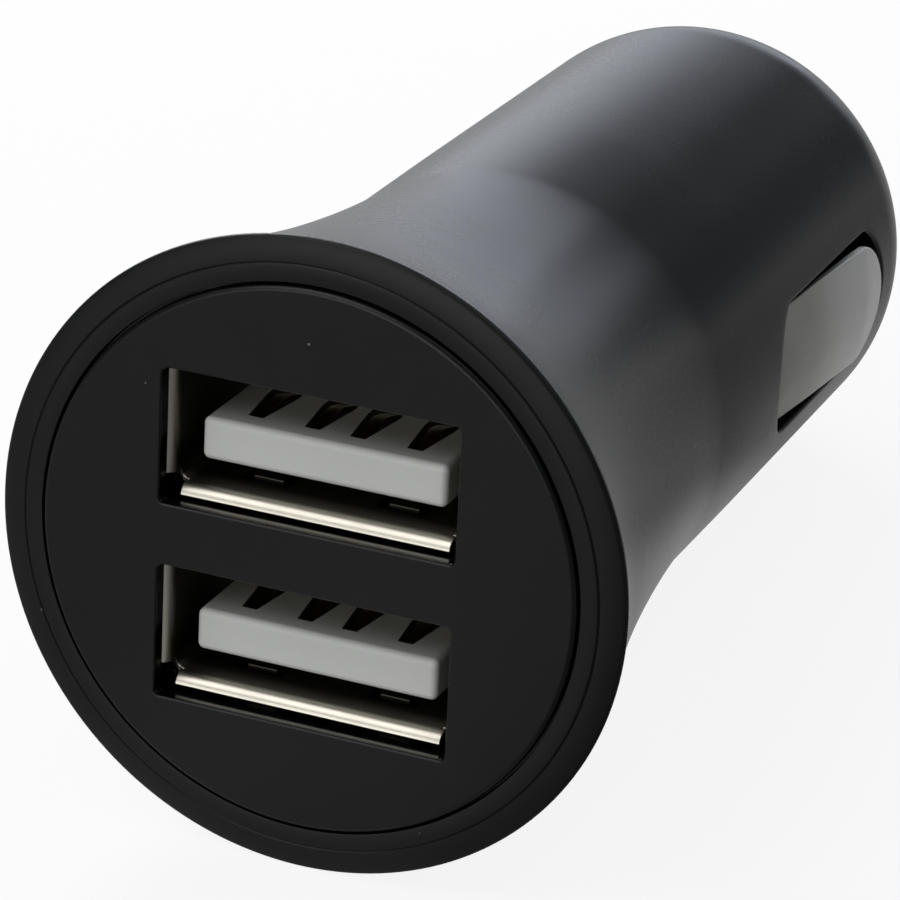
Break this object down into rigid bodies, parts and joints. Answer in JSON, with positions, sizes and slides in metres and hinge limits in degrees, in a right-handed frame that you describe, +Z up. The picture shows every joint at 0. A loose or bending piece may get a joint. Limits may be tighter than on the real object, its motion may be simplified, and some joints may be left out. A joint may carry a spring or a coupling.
{
  "type": "car usb charger plug",
  "caption": "Trumpet-shaped in-car charger: flared face with stacked USB-A sockets, plug barrel with sprung side contacts and a sprung centre tip.",
  "frame": {"origin": "on the plug's axis, where the flare meets the straight barrel", "axes": "+Y along the axis towards the nose, +Z up across the stacked sockets, +X to the right of the face"},
  "size_m": [0.0274, 0.0557, 0.0274],
  "materials": {
    "gloss_black": "polished moulding",
    "satin_black": "fine satin grain",
    "bright_nickel": "plated sheet",
    "satin_nickel": "satin plated spring sheet",
    "tongue_white": "moulded, satin",
    "contact_gold": "gold flash",
    "tip_nickel": "turned and plated",
    "spring_wire": "drawn wire",
    "tinned": "tin plated",
    "board_green": "solder mask",
    "sleeve_black": "shrunk sleeve",
    "ferrite": "sintered",
    "copper": "enamelled wire",
    "epoxy_black": "moulded package",
    "ceramic_white": "glazed body",
    "ceramic_tan": "fired body"
  },
  "bodies": {
    "charger": {"housing": "gloss_black", "face_plate": "satin_black", "upper_usb_shell": "bright_nickel", "lower_usb_shell": "bright_nickel", "upper_usb_insulator": "tongue_white", "lower_usb_insulator": "tongue_white", "upper_usb_contacts": "contact_gold", "lower_usb_contacts": "contact_gold", "usb_board": "board_green", "power_board": "board_green", "board_pins": "contact_gold", "tip_spring": "spring_wire", "spring_cup": "tinned", "input_capacitor": "sleeve_black", "input_capacitor_leads": "tinned", "output_capacitor": "sleeve_black", "output_capacitor_leads": "tinned", "inductor_core": "ferrite", "inductor_winding": "copper", "converter_chip": "epoxy_black", "converter_leads": "tinned", "port_controller": "epoxy_black", "diode": "epoxy_black", "diode_tabs": "tinned", "fuse": "ceramic_white", "fuse_caps": "tinned", "resistors": "epoxy_black", "ceramic_capacitors": "ceramic_tan"},
    "right_contact": {"right_ground_contact": "satin_nickel"},
    "left_contact": {"left_ground_contact": "satin_nickel"},
    "tip": {"centre_tip": "tip_nickel"}
  },
  "joints": [
    {"name": "right_contact_flex", "type": "hinge", "parent": "charger", "child": "right_contact", "pos_m": [0.00805, 0.0055, 0], "axis": [0, 0, 1], "range_deg": [0, 5.5], "stiffness_Nm_per_rad": 0.15, "springref_deg": -2.58},
    {"name": "left_contact_flex", "type": "hinge", "parent": "charger", "child": "left_contact", "pos_m": [-0.00805, 0.0055, 0], "axis": [0, 0, -1], "range_deg": [0, 5.5], "stiffness_Nm_per_rad": 0.15, "springref_deg": -2.58},
    {"name": "tip_slide", "type": "slide", "parent": "charger", "child": "tip", "axis": [0, -1, 0], "range_m": [0, 0.0025], "stiffness_N_per_m": 900, "springref_m": -0.003, "deforming": ["tip_spring"]}
  ]
}
